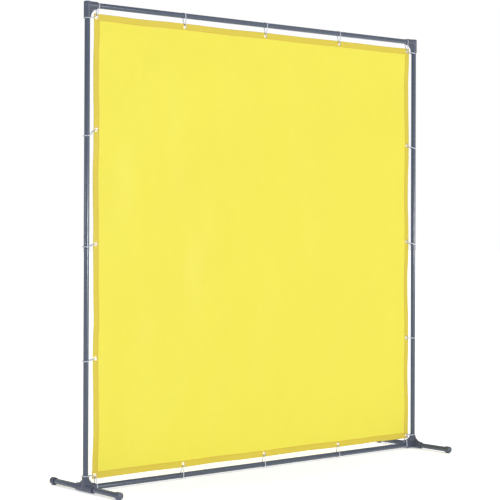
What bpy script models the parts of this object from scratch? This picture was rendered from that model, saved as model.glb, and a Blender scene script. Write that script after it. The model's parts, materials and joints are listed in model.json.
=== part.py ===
"""Free-standing welding curtain screen, in metres, +Z up.

A rectangular frame of coated steel tube stands on two pairs of feet. Moulded joints hold the tubes.
A hemmed vinyl curtain hangs inside the frame, tied to it through eyelets by loose cable ties.
X runs across the screen, Y from its front (negative) to its back, and the origin is on the floor
under the middle of the screen.
"""
import math

import bmesh
import bpy
from mathutils import Matrix

# --- driving dimensions -------------------------------------------------------------------------
POST_SPACING = 1.870        # between the axes of the two posts
RAIL_SPACING = 1.900        # between the axes of the bottom and top rails
FOOT_REACH = 0.236          # from a post's axis to the outer end of a toe cap
FIT_GAP = 0.0003            # clearance between pieces that seat in each other

TUBE_OD = 0.022
TUBE_WALL = 0.0015

SOCKET_WALL = 0.0032        # wall of a joint round the tube in it
SOCKET_DEPTH = 0.027
CORNER_POST_ARM = 0.048     # from the joint's centre to the mouth of each arm
RAIL_ARM = 0.046
BASE_POST_ARM = 0.042
FOOT_ARM = 0.058
CORNER_CHAMFER = 0.005      # round-over on top of an upper joint
WEB_THICKNESS = 0.010
WEB_SETBACK = 0.002         # a web ends this far behind the mouths of the arms it joins
WEB_HOLLOW = 0.006          # how far a web's free edge dips in from the straight line
WEB_SINK = 0.0015           # how far a web's ends are buried in the arms

CAP_WALL = 0.0030
CAP_LENGTH = 0.026
CAP_END = 0.005             # thickness of the closed end
CAP_ROUND = 0.004           # round-over at the closed end
CAP_LIP = 0.001             # chamfer at the mouth
PAD_DROP = 0.0017           # how far the flat toe pad stands out below the cap
PAD_WIDTH = 0.013
PAD_LENGTH = 0.018
PAD_INSET = 0.005           # from the closed end to the pad

SHEET_THICKNESS = 0.0006
SHEET_GAP = 0.021           # from the surface of a tube to the edge of the curtain
EYELET_INSET = 0.013        # from the curtain's edge to an eyelet's centre
EYELETS_PER_SIDE = 5
SIDE_ROW_RISE = 0.008       # the middle rows of eyelets sit this much above even spacing
EYELET_HOLE = 0.011         # diameter
EYELET_FLANGE = 0.021       # diameter
EYELET_BARREL_WALL = 0.0007
EYELET_FLANGE_WALL = 0.0007

TIE_WIDTH = 0.0042
TIE_THICKNESS = 0.0012
TIE_TUBE_GAP = 0.0004       # air between a tube and the loop round it
TIE_FLANGE_GAP = 0.0021     # air between a flange's face and the loop's end bend
TIE_SLACK = 0.0017          # from the loop's inner face to the edge of the eyelet's hole
TIE_STANDOFF = 0.0020       # between a joint's mouth and the tie beside it
TIE_LEAN = 0.0006           # the two ties in a corner eyelet keep this much apart from its middle
HEAD_ANGLE = math.radians(135)   # round the tube, from the eyelet's side towards the back
HEAD_LENGTH = 0.0060
HEAD_HEIGHT = 0.0046
HEAD_WIDTH = 0.0056

# How far each middle loop has slipped along its tube from its eyelet, left to right or top to bottom.
LEFT_SLIP = (-0.027, -0.011, -0.008)
RIGHT_SLIP = (-0.012, -0.014, -0.003)
TOP_SLIP = (-0.006, 0.001, -0.004)
BOTTOM_SLIP = (-0.008, -0.003, -0.001)

ROUND_STEPS = 20            # sides of tubes, sockets and caps
EYELET_STEPS = 16
OVERSHOOT = 0.004           # how far a cutter runs past the mouth that it opens
ARC_POINTS = 6

# --- sizes that follow --------------------------------------------------------------------------
TUBE_R = TUBE_OD / 2
SOCKET_R = TUBE_R + FIT_GAP
JOINT_R = SOCKET_R + SOCKET_WALL
CAP_R = SOCKET_R + CAP_WALL
CAP_DEPTH = CAP_LENGTH - CAP_END
AXIS_HEIGHT = max(CAP_R, JOINT_R) + PAD_DROP
HALF_WIDTH = POST_SPACING / 2
TOP_AXIS = AXIS_HEIGHT + RAIL_SPACING

SHEET_OFFSET = TUBE_R + SHEET_GAP
SHEET_WIDTH = POST_SPACING - 2 * SHEET_OFFSET
SHEET_HEIGHT = RAIL_SPACING - 2 * SHEET_OFFSET
EYELET_OFFSET = SHEET_OFFSET + EYELET_INSET
HOLE_R = EYELET_HOLE / 2
BARREL_R = HOLE_R + EYELET_BARREL_WALL
FLANGE_R = EYELET_FLANGE / 2
FLANGE_INNER = SHEET_THICKNESS / 2 + FIT_GAP
FLANGE_OUTER = FLANGE_INNER + EYELET_FLANGE_WALL

TIE_INNER_R = TUBE_R + TIE_TUBE_GAP
TIE_END_R = FLANGE_OUTER + TIE_FLANGE_GAP
TIE_CROSSING = EYELET_OFFSET - HOLE_R + TIE_SLACK + TIE_THICKNESS / 2
TIE_END_CENTRE = TIE_CROSSING - TIE_THICKNESS / 2 - TIE_END_R

COATED_STEEL = ("coated_tube", (0.102, 0.122, 0.171, 1.0), 0.28, 0.0)
MOULDED = ("moulded_joint", (0.080, 0.090, 0.130, 1.0), 0.42, 0.0)
VINYL = ("yellow_vinyl", (0.90, 0.82, 0.09, 1.0), 0.30, 0.0)
BRASS = ("eyelet_metal", (0.62, 0.60, 0.42, 1.0), 0.35, 1.0)
NYLON = ("tie_nylon", (0.83, 0.84, 0.86, 1.0), 0.38, 0.0)


# --- helpers ------------------------------------------------------------------------------------
def clear_scene():
    """Remove every object of the start-up scene."""
    for item in list(bpy.data.objects):
        bpy.data.objects.remove(item, do_unlink=True)


def collection(name):
    """Make a collection in the scene."""
    made = bpy.data.collections.new(name)
    bpy.context.scene.collection.children.link(made)
    return made


def material(name, colour, roughness, metallic):
    """Find or make a plain Principled material."""
    found = bpy.data.materials.get(name)
    if found:
        return found
    made = bpy.data.materials.new(name)
    made.use_nodes = True
    shader = made.node_tree.nodes["Principled BSDF"]
    shader.inputs["Base Color"].default_value = colour
    shader.inputs["Roughness"].default_value = roughness
    shader.inputs["Metallic"].default_value = metallic
    made.diffuse_color = colour
    return made


def add_object(name, mesh, group, finish=None, parent=None):
    """Put a mesh in the scene as an object of the given collection."""
    made = bpy.data.objects.new(name, mesh)
    group.objects.link(made)
    made.parent = parent
    if finish:
        if not mesh.materials:
            mesh.materials.append(material(*finish))
        mesh.shade_smooth()
        mesh.set_sharp_from_angle(angle=math.radians(35))
    return made


def add_empty(name, group, location):
    """An empty that carries moving pieces and stands on their axis."""
    made = bpy.data.objects.new(name, None)
    group.objects.link(made)
    made.location = location
    made.empty_display_size = 0.05
    return made


def mesh_of(made, name):
    """Turn an edited bmesh into a mesh with its faces pointing out."""
    bmesh.ops.recalc_face_normals(made, faces=made.faces)
    mesh = bpy.data.meshes.new(name)
    made.to_mesh(mesh)
    made.free()
    return mesh


def cylinder_mesh(name, radius, low, high, matrix):
    """A closed cylinder along the matrix's Z, from low to high."""
    made = bmesh.new()
    place = matrix @ Matrix.Translation((0, 0, (low + high) / 2))
    bmesh.ops.create_cone(made, cap_ends=True, segments=ROUND_STEPS, radius1=radius, radius2=radius,
                          depth=high - low, matrix=place)
    return mesh_of(made, name)


def box_mesh(name, size, matrix):
    """A box of the given size about the matrix's origin."""
    made = bmesh.new()
    bmesh.ops.create_cube(made, size=1.0, matrix=matrix @ Matrix.Diagonal((*size, 1.0)))
    return mesh_of(made, name)


def plate_mesh(name, outlines, thickness):
    """A flat plate in local XY, thick along Z; outlines after the first are holes in it."""
    curve = bpy.data.curves.new(name, "CURVE")
    curve.dimensions = "2D"
    curve.fill_mode = "BOTH"
    curve.extrude = thickness / 2
    for outline in outlines:
        spline = curve.splines.new("POLY")
        spline.points.add(len(outline) - 1)
        for point, (x, y) in zip(spline.points, outline):
            point.co = (x, y, 0.0, 1.0)
        spline.use_cyclic_u = True
    holder = bpy.data.objects.new(name, curve)
    bpy.context.scene.collection.objects.link(holder)
    flat = baked_mesh(holder, name)
    bpy.data.objects.remove(holder, do_unlink=True)
    made = bmesh.new()
    made.from_mesh(flat)
    bmesh.ops.remove_doubles(made, verts=made.verts, dist=0.00001)
    bpy.data.meshes.remove(flat)
    return mesh_of(made, name)


def baked_mesh(source, name):
    """The mesh that an object shows once its modifiers have run."""
    depsgraph = bpy.context.evaluated_depsgraph_get()
    mesh = bpy.data.meshes.new_from_object(source.evaluated_get(depsgraph))
    mesh.name = name
    return mesh


def combined_mesh(name, base, added, removed, cutters):
    """The base mesh with others joined to it and cut from it."""
    holder = add_object(name + "_blank", base, cutters)
    tools = [("UNION", mesh) for mesh in added] + [("DIFFERENCE", mesh) for mesh in removed]
    helpers = []
    for number, (operation, mesh) in enumerate(tools):
        helper = add_object(f"{name}_tool_{number}", mesh, cutters)
        helper.hide_render = True
        helper.display_type = "WIRE"
        helpers.append(helper)
        step = holder.modifiers.new(operation.lower(), "BOOLEAN")
        step.operation = operation
        step.solver = "EXACT"
        step.object = helper
    mesh = baked_mesh(holder, name)
    for item in [holder, *helpers]:
        bpy.data.objects.remove(item, do_unlink=True)
    return mesh


def turned_mesh(name, profile, steps, closed, cutters):
    """Turn a profile of (radius, height) points once round Z; it runs down its outer side."""
    mesh = bpy.data.meshes.new(name)
    points = [(radius, 0.0, height) for radius, height in profile]
    edges = [(index, index + 1) for index in range(len(points) - 1)]
    if closed:
        edges.append((len(points) - 1, 0))
    mesh.from_pydata(points, edges, [])
    holder = add_object(name + "_blank", mesh, cutters)
    screw = holder.modifiers.new("turn", "SCREW")
    screw.axis = "Z"
    screw.angle = 2 * math.pi
    screw.steps = steps
    screw.render_steps = steps
    screw.use_merge_vertices = True
    screw.merge_threshold = 0.00001
    turned = baked_mesh(holder, name)
    bpy.data.objects.remove(holder, do_unlink=True)
    return turned


def turn(axis, degrees):
    """A rotation matrix about a world axis."""
    return Matrix.Rotation(math.radians(degrees), 4, axis)


def arc(centre_x, centre_y, radius, start, end, count):
    """Points along an arc, both ends included."""
    angles = [start + (end - start) * index / (count - 1) for index in range(count)]
    return [(centre_x + radius * math.cos(a), centre_y + radius * math.sin(a)) for a in angles]


# --- shapes -------------------------------------------------------------------------------------
def tube_mesh(name, length, cutters):
    """An open tube along Z, from zero to its length."""
    inner = TUBE_R - TUBE_WALL
    profile = [(TUBE_R, length), (TUBE_R, 0.0), (inner, 0.0), (inner, length)]
    return turned_mesh(name, profile, ROUND_STEPS, True, cutters)


def web_mesh(name, along_x, along_y, matrix):
    """A web between an arm along X and an arm along Y, with a hollow free edge."""
    edge = JOINT_R - WEB_SINK
    start = (along_x - WEB_SETBACK, edge)
    end = (edge, along_y - WEB_SETBACK)
    half = math.dist(start, end) / 2
    radius = (half ** 2 + WEB_HOLLOW ** 2) / (2 * WEB_HOLLOW)
    middle = ((start[0] + end[0]) / 2, (start[1] + end[1]) / 2)
    away = ((start[1] - end[1]) / (-2 * half), (start[0] - end[0]) / (2 * half))
    centre = (middle[0] + away[0] * (radius - WEB_HOLLOW), middle[1] + away[1] * (radius - WEB_HOLLOW))
    first = math.atan2(start[1] - centre[1], start[0] - centre[0]) % (2 * math.pi)
    last = math.atan2(end[1] - centre[1], end[0] - centre[0]) % (2 * math.pi)
    hollow = arc(*centre, radius, first, last, ARC_POINTS)
    outline = [(0.0, 0.0), (start[0], 0.0), *hollow, (0.0, end[1])]
    plate = plate_mesh(name, [outline], WEB_THICKNESS)
    plate.transform(matrix)
    return plate


def corner_joint_mesh(cutters):
    """Upper joint: one arm down the post, one along the rail in +X, and a web between them."""
    top = JOINT_R - FIT_GAP
    profile = [(0.0, top), *arc(JOINT_R - CORNER_CHAMFER, top - CORNER_CHAMFER, CORNER_CHAMFER,
                                math.pi / 2, 0.0, 4),
               (JOINT_R, -CORNER_POST_ARM), (0.0, -CORNER_POST_ARM)]
    upright = turned_mesh("corner_upright", profile, ROUND_STEPS, False, cutters)
    along_rail = turn("Y", 90)
    down = turn("X", 180)
    added = [cylinder_mesh("rail_arm", JOINT_R, 0.0, RAIL_ARM, along_rail),
             web_mesh("corner_web", RAIL_ARM, CORNER_POST_ARM, turn("X", -90))]
    removed = [cylinder_mesh("rail_socket", SOCKET_R, RAIL_ARM - SOCKET_DEPTH, RAIL_ARM + OVERSHOOT,
                             along_rail),
               cylinder_mesh("post_socket", SOCKET_R, CORNER_POST_ARM - SOCKET_DEPTH,
                             CORNER_POST_ARM + OVERSHOOT, down)]
    return combined_mesh("corner_joint", upright, added, removed, cutters)


def base_joint_mesh(cutters):
    """Lower joint: arms up the post, along the rail in +X and along both feet, with three webs."""
    along_rail = turn("Y", 90)
    forward = turn("X", 90)
    backward = turn("X", -90)
    upright = cylinder_mesh("base_upright", JOINT_R, -JOINT_R + CORNER_CHAMFER, BASE_POST_ARM,
                            Matrix.Identity(4))
    added = [cylinder_mesh("foot_bar", JOINT_R, -FOOT_ARM, FOOT_ARM, forward),
             cylinder_mesh("rail_arm", JOINT_R, 0.0, RAIL_ARM, along_rail),
             web_mesh("rail_web", RAIL_ARM, BASE_POST_ARM, turn("X", 90)),
             web_mesh("front_web", FOOT_ARM, BASE_POST_ARM, turn("Z", -90) @ turn("X", 90)),
             web_mesh("back_web", FOOT_ARM, BASE_POST_ARM, turn("Z", 90) @ turn("X", 90))]
    mouths = [(BASE_POST_ARM, Matrix.Identity(4)), (RAIL_ARM, along_rail), (FOOT_ARM, forward),
              (FOOT_ARM, backward)]
    removed = [cylinder_mesh("socket", SOCKET_R, arm - SOCKET_DEPTH, arm + OVERSHOOT, facing)
               for arm, facing in mouths]
    return combined_mesh("base_joint", upright, added, removed, cutters)


def toe_cap_mesh(cutters):
    """Cap on a foot's end: a cup with its mouth at zero and its closed end up Z, and a pad at -Y."""
    profile = [(0.0, CAP_LENGTH),
               *arc(CAP_R - CAP_ROUND, CAP_LENGTH - CAP_ROUND, CAP_ROUND, math.pi / 2, 0.0, 4),
               (CAP_R, CAP_LIP), (CAP_R - CAP_LIP, 0.0), (SOCKET_R, 0.0), (SOCKET_R, CAP_DEPTH),
               (0.0, CAP_DEPTH)]
    cup = turned_mesh("toe_cup", profile, ROUND_STEPS, False, cutters)
    buried = CAP_WALL * 0.5
    pad_height = AXIS_HEIGHT - CAP_R + buried
    middle = (0.0, -AXIS_HEIGHT + pad_height / 2, CAP_LENGTH - PAD_INSET - PAD_LENGTH / 2)
    pad = box_mesh("toe_pad", (PAD_WIDTH, pad_height, PAD_LENGTH), Matrix.Translation(middle))
    return combined_mesh("toe_cap", cup, [pad], [], cutters)


def eyelet_mesh(cutters):
    """A barrel through the curtain with a flange on each face of it."""
    profile = [(HOLE_R, FLANGE_OUTER), (FLANGE_R, FLANGE_OUTER), (FLANGE_R, FLANGE_INNER),
               (BARREL_R, FLANGE_INNER), (BARREL_R, -FLANGE_INNER), (FLANGE_R, -FLANGE_INNER),
               (FLANGE_R, -FLANGE_OUTER), (HOLE_R, -FLANGE_OUTER)]
    return turned_mesh("eyelet", profile, EYELET_STEPS, True, cutters)


def belt(tube_radius, end_radius):
    """Outline of a belt round the tube at the origin and round the small bend at the eyelet."""
    wrap = math.acos((tube_radius - end_radius) / TIE_END_CENTRE)
    far_side = arc(0.0, 0.0, tube_radius, wrap, 2 * math.pi - wrap, 11)
    near_side = arc(TIE_END_CENTRE, 0.0, end_radius, -wrap, wrap, 6)
    return far_side + near_side


def tie_mesh(cutters):
    """A closed cable tie in local XY: the tube at the origin, the eyelet in +X, the head at the back."""
    strap = plate_mesh("tie_strap", [belt(TIE_INNER_R + TIE_THICKNESS, TIE_END_R + TIE_THICKNESS),
                                     belt(TIE_INNER_R, TIE_END_R)], TIE_WIDTH)
    place = Matrix.Rotation(HEAD_ANGLE, 4, "Z")
    place = place @ Matrix.Translation((TIE_INNER_R + TIE_THICKNESS / 3 + HEAD_HEIGHT / 2, 0.0, 0.0))
    head = box_mesh("tie_head", (HEAD_HEIGHT, HEAD_LENGTH, HEAD_WIDTH), place)
    return combined_mesh("tie", strap, [head], [], cutters)


def slanted(mesh, name, drift):
    """A copy of the tie whose eyelet end has moved along the tube by drift."""
    copy = mesh.copy()
    copy.name = name
    for vertex in copy.vertices:
        vertex.co.z += drift * vertex.co.x / TIE_CROSSING
    return copy


# --- assembly -----------------------------------------------------------------------------------
def add_tubes(parts, cutters):
    """Posts, rails and foot tubes, each seated in its joints with a gap at both ends."""
    def seat(arm):
        return arm - SOCKET_DEPTH + FIT_GAP

    low = AXIS_HEIGHT + seat(BASE_POST_ARM)
    post_length = TOP_AXIS - seat(CORNER_POST_ARM) - low
    rail_length = POST_SPACING - 2 * seat(RAIL_ARM)
    foot_length = FOOT_REACH - CAP_END - FIT_GAP - seat(FOOT_ARM)
    post = tube_mesh("post", post_length, cutters)
    rail = tube_mesh("rail", rail_length, cutters)
    foot = tube_mesh("foot_tube", foot_length, cutters)
    for side, x in (("left", -HALF_WIDTH), ("right", HALF_WIDTH)):
        made = add_object("post_" + side, post, parts, COATED_STEEL)
        made.location = (x, 0.0, low)
        for end, way in (("front", 90), ("back", -90)):
            made = add_object(f"foot_tube_{end}_{side}", foot, parts, COATED_STEEL)
            made.rotation_euler = (math.radians(way), 0.0, 0.0)
            made.location = (x, -math.copysign(seat(FOOT_ARM), way), AXIS_HEIGHT)
    for name, height in (("top_rail", TOP_AXIS), ("bottom_rail", AXIS_HEIGHT)):
        made = add_object(name, rail, parts, COATED_STEEL)
        made.rotation_euler = (0.0, math.radians(90), 0.0)
        made.location = (-HALF_WIDTH + seat(RAIL_ARM), 0.0, height)


def add_joints_and_caps(parts, cutters):
    """The four moulded joints and the four toe caps."""
    corner = corner_joint_mesh(cutters)
    base = base_joint_mesh(cutters)
    cap = toe_cap_mesh(cutters)
    for side, x, facing in (("left", -HALF_WIDTH, 0.0), ("right", HALF_WIDTH, math.pi)):
        made = add_object("corner_joint_" + side, corner, parts, MOULDED)
        made.location = (x, 0.0, TOP_AXIS)
        made.rotation_euler = (0.0, 0.0, facing)
        made = add_object("base_joint_" + side, base, parts, MOULDED)
        made.location = (x, 0.0, AXIS_HEIGHT)
        made.rotation_euler = (0.0, 0.0, facing)
        for end, spin, way in (("front", 0.0, -1), ("back", math.pi, 1)):
            made = add_object(f"toe_cap_{end}_{side}", cap, parts, MOULDED)
            made.location = (x, way * (FOOT_REACH - CAP_LENGTH), AXIS_HEIGHT)
            made.rotation_euler = (math.radians(90), 0.0, spin)


def eyelet_columns():
    """X of each column of eyelets, left to right."""
    edge = HALF_WIDTH - EYELET_OFFSET
    step = 2 * edge / (EYELETS_PER_SIDE - 1)
    return [-edge + step * index for index in range(EYELETS_PER_SIDE)]


def eyelet_rows():
    """Z of each row of eyelets, top to bottom."""
    high = TOP_AXIS - EYELET_OFFSET
    step = (high - AXIS_HEIGHT - EYELET_OFFSET) / (EYELETS_PER_SIDE - 1)
    rows = [high - step * index for index in range(EYELETS_PER_SIDE)]
    for index in range(1, EYELETS_PER_SIDE - 1):
        rows[index] += SIDE_ROW_RISE
    return rows


def eyelet_places():
    """Name and place of every eyelet, clockwise from the top left corner."""
    columns = eyelet_columns()
    rows = eyelet_rows()
    places = [("top", x, rows[0]) for x in columns]
    places += [("right", columns[-1], z) for z in rows[1:-1]]
    places += [("bottom", x, rows[-1]) for x in reversed(columns)]
    places += [("left", columns[0], z) for z in reversed(rows[1:-1])]
    return places


def add_curtain(parts, cutters):
    """The curtain as a flat sheet with a hole for each eyelet, and the eyelets in it."""
    middle = AXIS_HEIGHT + RAIL_SPACING / 2
    carrier = add_empty("curtain_carrier", parts, (0.0, 0.0, middle))
    half_w = SHEET_WIDTH / 2
    half_h = SHEET_HEIGHT / 2
    outlines = [[(-half_w, -half_h), (half_w, -half_h), (half_w, half_h), (-half_w, half_h)]]
    sweep = 2 * math.pi * (EYELET_STEPS - 1) / EYELET_STEPS
    for _, x, z in eyelet_places():
        outlines.append(arc(x, z - middle, BARREL_R + FIT_GAP, 0.0, sweep, EYELET_STEPS))
    curtain = add_object("curtain", plate_mesh("curtain", outlines, SHEET_THICKNESS), parts, VINYL, carrier)
    curtain.rotation_euler = (math.radians(90), 0.0, 0.0)
    ring = eyelet_mesh(cutters)
    counts = {}
    for side, x, z in eyelet_places():
        counts[side] = counts.get(side, 0) + 1
        made = add_object(f"eyelet_{side}_{counts[side]}", ring, parts, BRASS, carrier)
        made.location = (x, 0.0, z - middle)
        made.rotation_euler = (math.radians(90), 0.0, 0.0)


def add_ties(parts, cutters):
    """Five cable ties on each side of the frame, hung on an empty on their tube's axis."""
    plain = tie_mesh(cutters)
    columns = eyelet_columns()
    rows = eyelet_rows()[::-1]
    beside = TIE_WIDTH / 2 + TIE_STANDOFF
    rail_ends = (-HALF_WIDTH + RAIL_ARM + beside, HALF_WIDTH - RAIL_ARM - beside)
    post_ends = (AXIS_HEIGHT + BASE_POST_ARM + beside, TOP_AXIS - CORNER_POST_ARM - beside)
    middle = AXIS_HEIGHT + RAIL_SPACING / 2
    sides = (("left", "Z", (-HALF_WIDTH, 0.0, middle), 0, rows, LEFT_SLIP[::-1], post_ends),
             ("right", "Z", (HALF_WIDTH, 0.0, middle), 180, rows, RIGHT_SLIP[::-1], post_ends),
             ("top", "X", (0.0, 0.0, TOP_AXIS), 90, columns, TOP_SLIP, rail_ends),
             ("bottom", "X", (0.0, 0.0, AXIS_HEIGHT), -90, columns, BOTTOM_SLIP, rail_ends))
    for side, tube_axis, axis_point, facing, eyelets, slips, ends in sides:
        carrier = add_empty(side + "_tie_axis", parts, axis_point)
        sign = 1 if facing in (0, 90) else -1
        base = axis_point[2] if tube_axis == "Z" else axis_point[0]
        loops = [(eyelets[0] + TIE_LEAN, ends[0])]
        loops += [(place, place + slip) for place, slip in zip(eyelets[1:-1], slips)]
        loops += [(eyelets[-1] - TIE_LEAN, ends[1])]
        for number, (crossing, on_tube) in enumerate(loops, start=1):
            name = f"cable_tie_{side}_{number}"
            made = add_object(name, slanted(plain, name, sign * (crossing - on_tube)), parts, NYLON, carrier)
            made.rotation_euler = (0.0, math.radians(facing), 0.0)
            along = on_tube - base
            made.location = (0.0, 0.0, along) if tube_axis == "Z" else (along, 0.0, 0.0)


def main():
    clear_scene()
    parts = collection("welding_curtain_screen")
    cutters = collection("cutters")
    add_tubes(parts, cutters)
    add_joints_and_caps(parts, cutters)
    add_curtain(parts, cutters)
    add_ties(parts, cutters)


main()
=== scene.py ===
import json
import math

import bmesh
import bpy
import numpy as np
from bpy.props import FloatProperty, FloatVectorProperty, IntProperty, PointerProperty
from bpy.types import NodeSocket, Operator, Panel, PropertyGroup
from mathutils import Matrix, Vector

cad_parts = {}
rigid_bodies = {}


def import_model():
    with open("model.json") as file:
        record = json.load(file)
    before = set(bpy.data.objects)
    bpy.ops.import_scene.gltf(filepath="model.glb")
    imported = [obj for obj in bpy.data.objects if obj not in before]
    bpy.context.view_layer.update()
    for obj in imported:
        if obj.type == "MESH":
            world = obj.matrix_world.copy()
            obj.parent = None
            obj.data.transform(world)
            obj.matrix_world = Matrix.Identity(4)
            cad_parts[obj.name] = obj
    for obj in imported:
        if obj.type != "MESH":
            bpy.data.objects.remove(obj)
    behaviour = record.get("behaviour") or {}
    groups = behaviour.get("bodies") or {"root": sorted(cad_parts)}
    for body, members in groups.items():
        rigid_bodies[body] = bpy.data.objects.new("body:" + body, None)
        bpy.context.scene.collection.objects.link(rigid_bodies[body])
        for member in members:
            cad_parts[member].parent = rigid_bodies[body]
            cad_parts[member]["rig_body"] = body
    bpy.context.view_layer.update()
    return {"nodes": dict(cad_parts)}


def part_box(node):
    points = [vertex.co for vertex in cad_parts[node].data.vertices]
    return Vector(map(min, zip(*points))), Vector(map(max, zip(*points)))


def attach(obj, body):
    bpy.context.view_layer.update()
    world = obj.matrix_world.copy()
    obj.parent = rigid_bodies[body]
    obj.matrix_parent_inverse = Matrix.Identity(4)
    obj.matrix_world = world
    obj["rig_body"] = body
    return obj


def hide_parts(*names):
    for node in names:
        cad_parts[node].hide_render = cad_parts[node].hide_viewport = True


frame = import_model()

bl_info = {
    "name": "Welding Curtain Screen",
    "version": (1, 0, 0),
    "blender": (4, 5, 0),
    "location": "3D View > Sidebar > Curtain Screen",
    "description": "Dresses the packed frame of a welding curtain screen",
    "category": "Add Mesh",
}

# --- measures read from the frame, in metres ---
SIDES = {"left": -1, "right": 1}
ENDS = {"front": -1, "back": 1}
EDGES = ("top", "bottom", "left", "right")
TIES = 5                  # along each edge


def middle(node):
    """Centre of a CAD node's box."""
    low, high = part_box(node)
    return np.array((low + high) / 2)


def size(node):
    """Size of a CAD node's box along X, Y and Z."""
    low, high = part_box(node)
    return np.array(high - low)


TUBE_R = size("post_left")[0] / 2
HALF_WIDTH = middle("post_right")[0]
LOW_AXIS = middle("bottom_rail")[2]
HIGH_AXIS = middle("top_rail")[2]
JOINT_R = size("corner_joint_left")[1] / 2
RAIL_ARM = size("corner_joint_left")[0] - JOINT_R
CORNER_ARM = HIGH_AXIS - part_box("corner_joint_left")[0].z
CORNER_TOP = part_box("corner_joint_left")[1].z - HIGH_AXIS
BASE_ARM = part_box("base_joint_left")[1].z - LOW_AXIS
FOOT_ARM = size("base_joint_left")[1] / 2
CAP_R = size("toe_cap_front_left")[0] / 2
CAP_LENGTH = size("toe_cap_front_left")[1]
SHEET_SIZE = size("curtain")[[0, 2]]
SHEET_Z = middle("curtain")[2]
FLANGE_R = size("eyelet_top_1")[0] / 2
EYELET_INSET = middle("eyelet_top_1")[0] + SHEET_SIZE[0] / 2
EYELETS = {name: middle(name)[[0, 2]] for name in sorted(frame["nodes"]) if name.startswith("eyelet_")}


# --- sizes and colours that a user may change ---
def length(name, description, default, unit="LENGTH", subtype="DISTANCE"):
    """A setting in metres, or in another unit."""
    return FloatProperty(name=name, description=description, default=default, min=0.0, unit=unit,
                         subtype=subtype, precision=5)


def angle(name, description, degrees):
    """An angle setting."""
    return length(name, description, math.radians(degrees), "ROTATION", "ANGLE")


def colour(name, description, default):
    """A colour setting."""
    return FloatVectorProperty(name=name, description=description, default=default, size=3, min=0.0,
                               max=1.0, subtype="COLOR")


class TubeSettings(PropertyGroup):
    """Coated steel tubes."""
    wall: length("Wall", "Thickness of the wall", 0.0015)
    deburr: length("Deburr", "Rounding of the cut ends", 0.0004)
    sides: IntProperty(name="Sides", description="Flats round a tube", default=72, min=12, max=256)
    coat: colour("Coat", "Colour of the coating", (0.049, 0.066, 0.110))
    worn: colour("Worn coat", "Colour of dulled coating", (0.060, 0.078, 0.123))


class JointSettings(PropertyGroup):
    """Moulded joints and toe caps."""
    play: length("Play", "Gap between a tube and its socket", 0.0003)
    socket_depth: length("Socket depth", "Depth of a joint's socket", 0.027)
    corner_round: length("Corner round", "Rounding of an upper joint's top", 0.005)
    web: length("Web", "Thickness of the webs", 0.010)
    web_setback: length("Web setback", "From an arm's mouth to the web's end", 0.002)
    web_hollow: length("Web hollow", "Dip of a web's free edge", 0.006)
    fillet: length("Fillet", "Radius between arms and webs", 0.0035)
    lip: length("Lip", "Rounding of a socket's mouth", 0.0008)
    cap_end: length("Cap end", "Thickness of a cap's closed end", 0.005)
    cap_round: length("Cap round", "Rounding of a cap's closed end", 0.0042)
    pad_width: length("Pad width", "Width of the flat under a toe cap", 0.013)
    pad_length: length("Pad length", "Length of the flat under a toe cap", 0.018)
    pad_inset: length("Pad inset", "From a toe cap's end to its flat", 0.005)
    pitch: length("Mesh pitch", "Size of the moulded skin's faces", 0.0009)
    parting: length("Parting line", "Width of the mould's parting line", 0.0005)
    plastic: colour("Plastic", "Colour of the moulded parts", (0.056, 0.068, 0.110))
    flow: colour("Flow marks", "Colour of the paler flow marks", (0.070, 0.083, 0.130))


class CurtainSettings(PropertyGroup):
    """Vinyl curtain and its hems."""
    thickness: length("Thickness", "Thickness of the vinyl", 0.0005)
    hem: length("Hem", "Width of the folded hem", 0.0265)
    seam: length("Seam", "From the hem's inner edge to its weld", 0.0035)
    puff: length("Puff", "Height of the hem's flap off the sheet", 0.0004)
    cell: length("Cell", "Size of the sheet's faces", 0.0145)
    wave: length("Wave", "Depth of the sheet's soft waves", 0.0034)
    scallop: length("Scallop", "Draw of an edge between eyelets", 0.0014)
    vinyl: colour("Vinyl", "Colour of a single layer", (0.880, 0.832, 0.122))
    # Painted shade: the doubled hem is a darker copy of the vinyl, for the light that two layers hold back
    # from behind.
    doubled: colour("Doubled vinyl", "Colour of the doubled hem", (0.775, 0.645, 0.072))
    # The weld line takes this colour as its own; on the four-layer corners it is painted shade for the light
    # they hold back.
    weld: colour("Weld", "Colour of the weld line and of the four-layer corners", (0.74, 0.555, 0.062))
    weld_width: length("Weld width", "Width of the weld line", 0.0032)
    knurl: length("Knurl", "Distance between the weld's ribs", 0.0016)


class EyeletSettings(PropertyGroup):
    """Metal eyelets."""
    hole: length("Hole", "Radius of the hole", 0.0055)
    barrel: length("Barrel", "Thickness of the barrel's wall", 0.0007)
    crown: length("Crown", "Height of a flange off the vinyl", 0.00085)
    rim: length("Rim", "Thickness of a flange at its rim", 0.0004)
    metal: colour("Metal", "Colour of the plating", (0.48, 0.39, 0.18))
    tarnish: colour("Tarnish", "Colour of the tarnish", (0.34, 0.27, 0.105))


class TieSettings(PropertyGroup):
    """Nylon cable ties."""
    width: length("Width", "Width of the strap", 0.0042)
    thickness: length("Thickness", "Thickness of the strap", 0.0012)
    tube_gap: length("Tube gap", "Air between a tube and the loop", 0.0004)
    end_radius: length("End radius", "Inside radius of the bend at the eyelet", 0.0034)
    crossing: length("Crossing", "From the tube's axis to the strap in the eyelet", 0.0418)
    head_angle: angle("Head angle", "Place of the head round the tube", 135)
    head_length: length("Head length", "Size of the head along the strap", 0.0060)
    head_height: length("Head height", "Size of the head off the tube", 0.0046)
    head_width: length("Head width", "Size of the head across the strap", 0.0056)
    tail: length("Tail", "Length of the trimmed tail", 0.0034)
    tooth: length("Tooth", "Distance between the strap's teeth", 0.0011)
    nylon: colour("Nylon", "Colour of the nylon", (0.66, 0.69, 0.78))


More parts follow.
